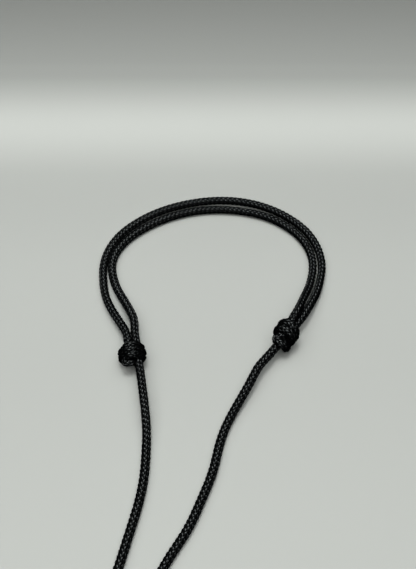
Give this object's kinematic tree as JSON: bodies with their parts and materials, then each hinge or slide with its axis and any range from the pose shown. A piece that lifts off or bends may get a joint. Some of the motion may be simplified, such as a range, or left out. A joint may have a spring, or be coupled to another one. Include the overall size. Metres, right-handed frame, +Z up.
{
  "type": "eyeglass retainer strap",
  "caption": "Braided cord strap for spectacles: a doubled loop closed by sliding knots, with single tails that end in soft temple grips.",
  "frame": {"origin": "on the table, under the middle of the whole strap", "axes": "+Z up from the table, +Y from the temple grips towards the loop, +X to the right"},
  "size_m": [0.1095, 0.2937, 0.0136],
  "materials": {
    "nylon_braid": "black braided nylon cord with a soft sheen on each yarn",
    "silicone": "satin black silicone rubber",
    "steel": "plain steel sleeve with pressed grooves"
  },
  "bodies": {
    "root": {"left_cord": "nylon_braid", "left_cord_lead": "nylon_braid", "left_crimp": "steel", "left_temple_grip": "silicone", "right_cord": "nylon_braid", "right_cord_lead": "nylon_braid", "right_crimp": "steel", "right_temple_grip": "silicone"},
    "left_knot": {"left_knot": "nylon_braid"},
    "right_knot": {"right_knot": "nylon_braid"}
  },
  "joints": [
    {"name": "left_knot_slide", "type": "slide", "parent": "root", "child": "left_knot", "axis": [0.155, -0.9879, 0], "range_m": [-0.005, 0.012], "deforming": ["right_cord_lead"]},
    {"name": "right_knot_slide", "type": "slide", "parent": "root", "child": "right_knot", "axis": [-0.615, -0.7885, 0], "range_m": [-0.005, 0.012], "deforming": ["left_cord_lead"]}
  ]
}
